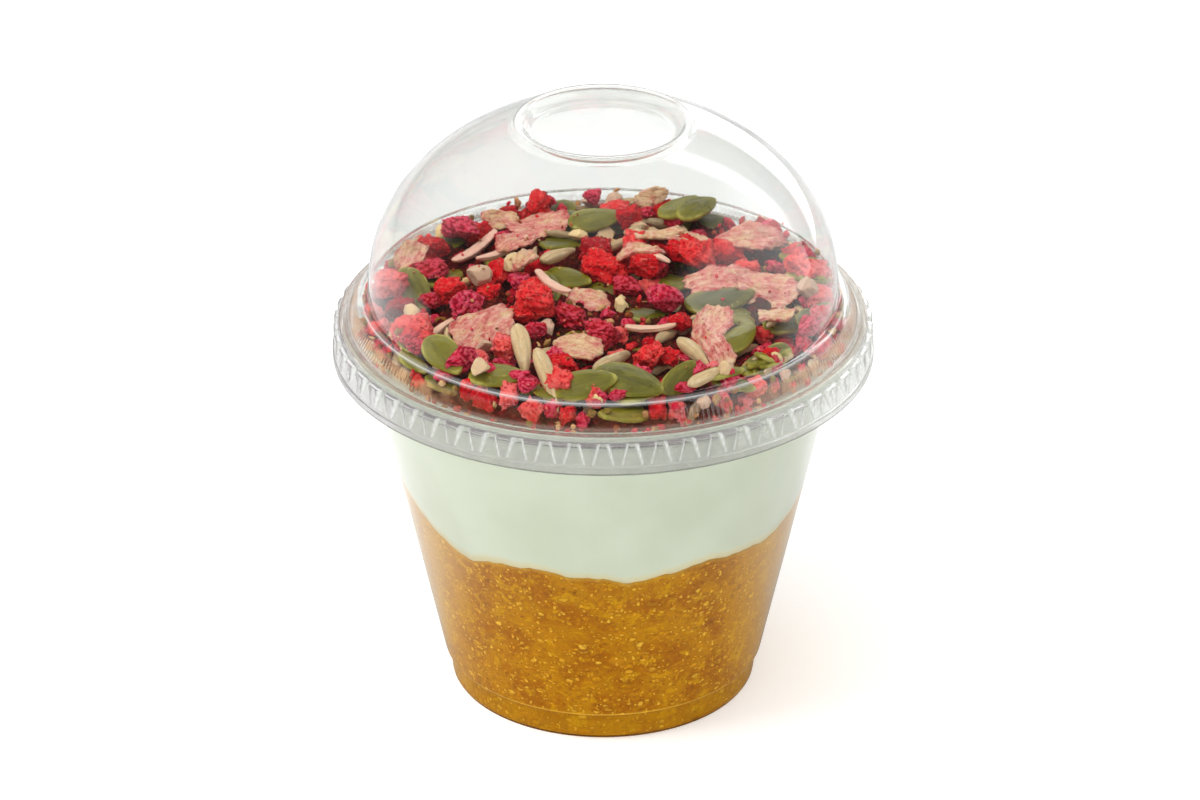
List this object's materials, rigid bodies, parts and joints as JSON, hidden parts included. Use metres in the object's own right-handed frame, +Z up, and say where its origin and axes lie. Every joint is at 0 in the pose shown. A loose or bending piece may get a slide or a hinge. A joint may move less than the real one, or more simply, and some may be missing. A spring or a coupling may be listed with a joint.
{
  "type": "chia pudding pot",
  "caption": "Chia pudding in a tapered clear cup: orange chia layer, white yogurt layer, and a heap of dried berries, flakes and seeds under a clear dome lid.",
  "frame": {"origin": "middle of the cup's foot, on the surface that it stands on", "axes": "+Z up along the cup's axis, -Y towards the picture's camera, +X to its right"},
  "size_m": [0.101, 0.101, 0.1147],
  "materials": {
    "cup_plastic": "clear, glossy, thin thermoformed plastic",
    "lid_plastic": "clear, glossy, thin thermoformed plastic",
    "chia": "moist orange fruit and chia gel with pale seeds",
    "yogurt": "smooth pale yogurt",
    "topping": "dry crumbly fruit, flakes and seeds"
  },
  "bodies": {
    "root": {"cup": "cup_plastic", "lid": "lid_plastic", "chia_pudding": "chia", "yogurt": "yogurt", "topping": "topping"}
  },
  "joints": []
}
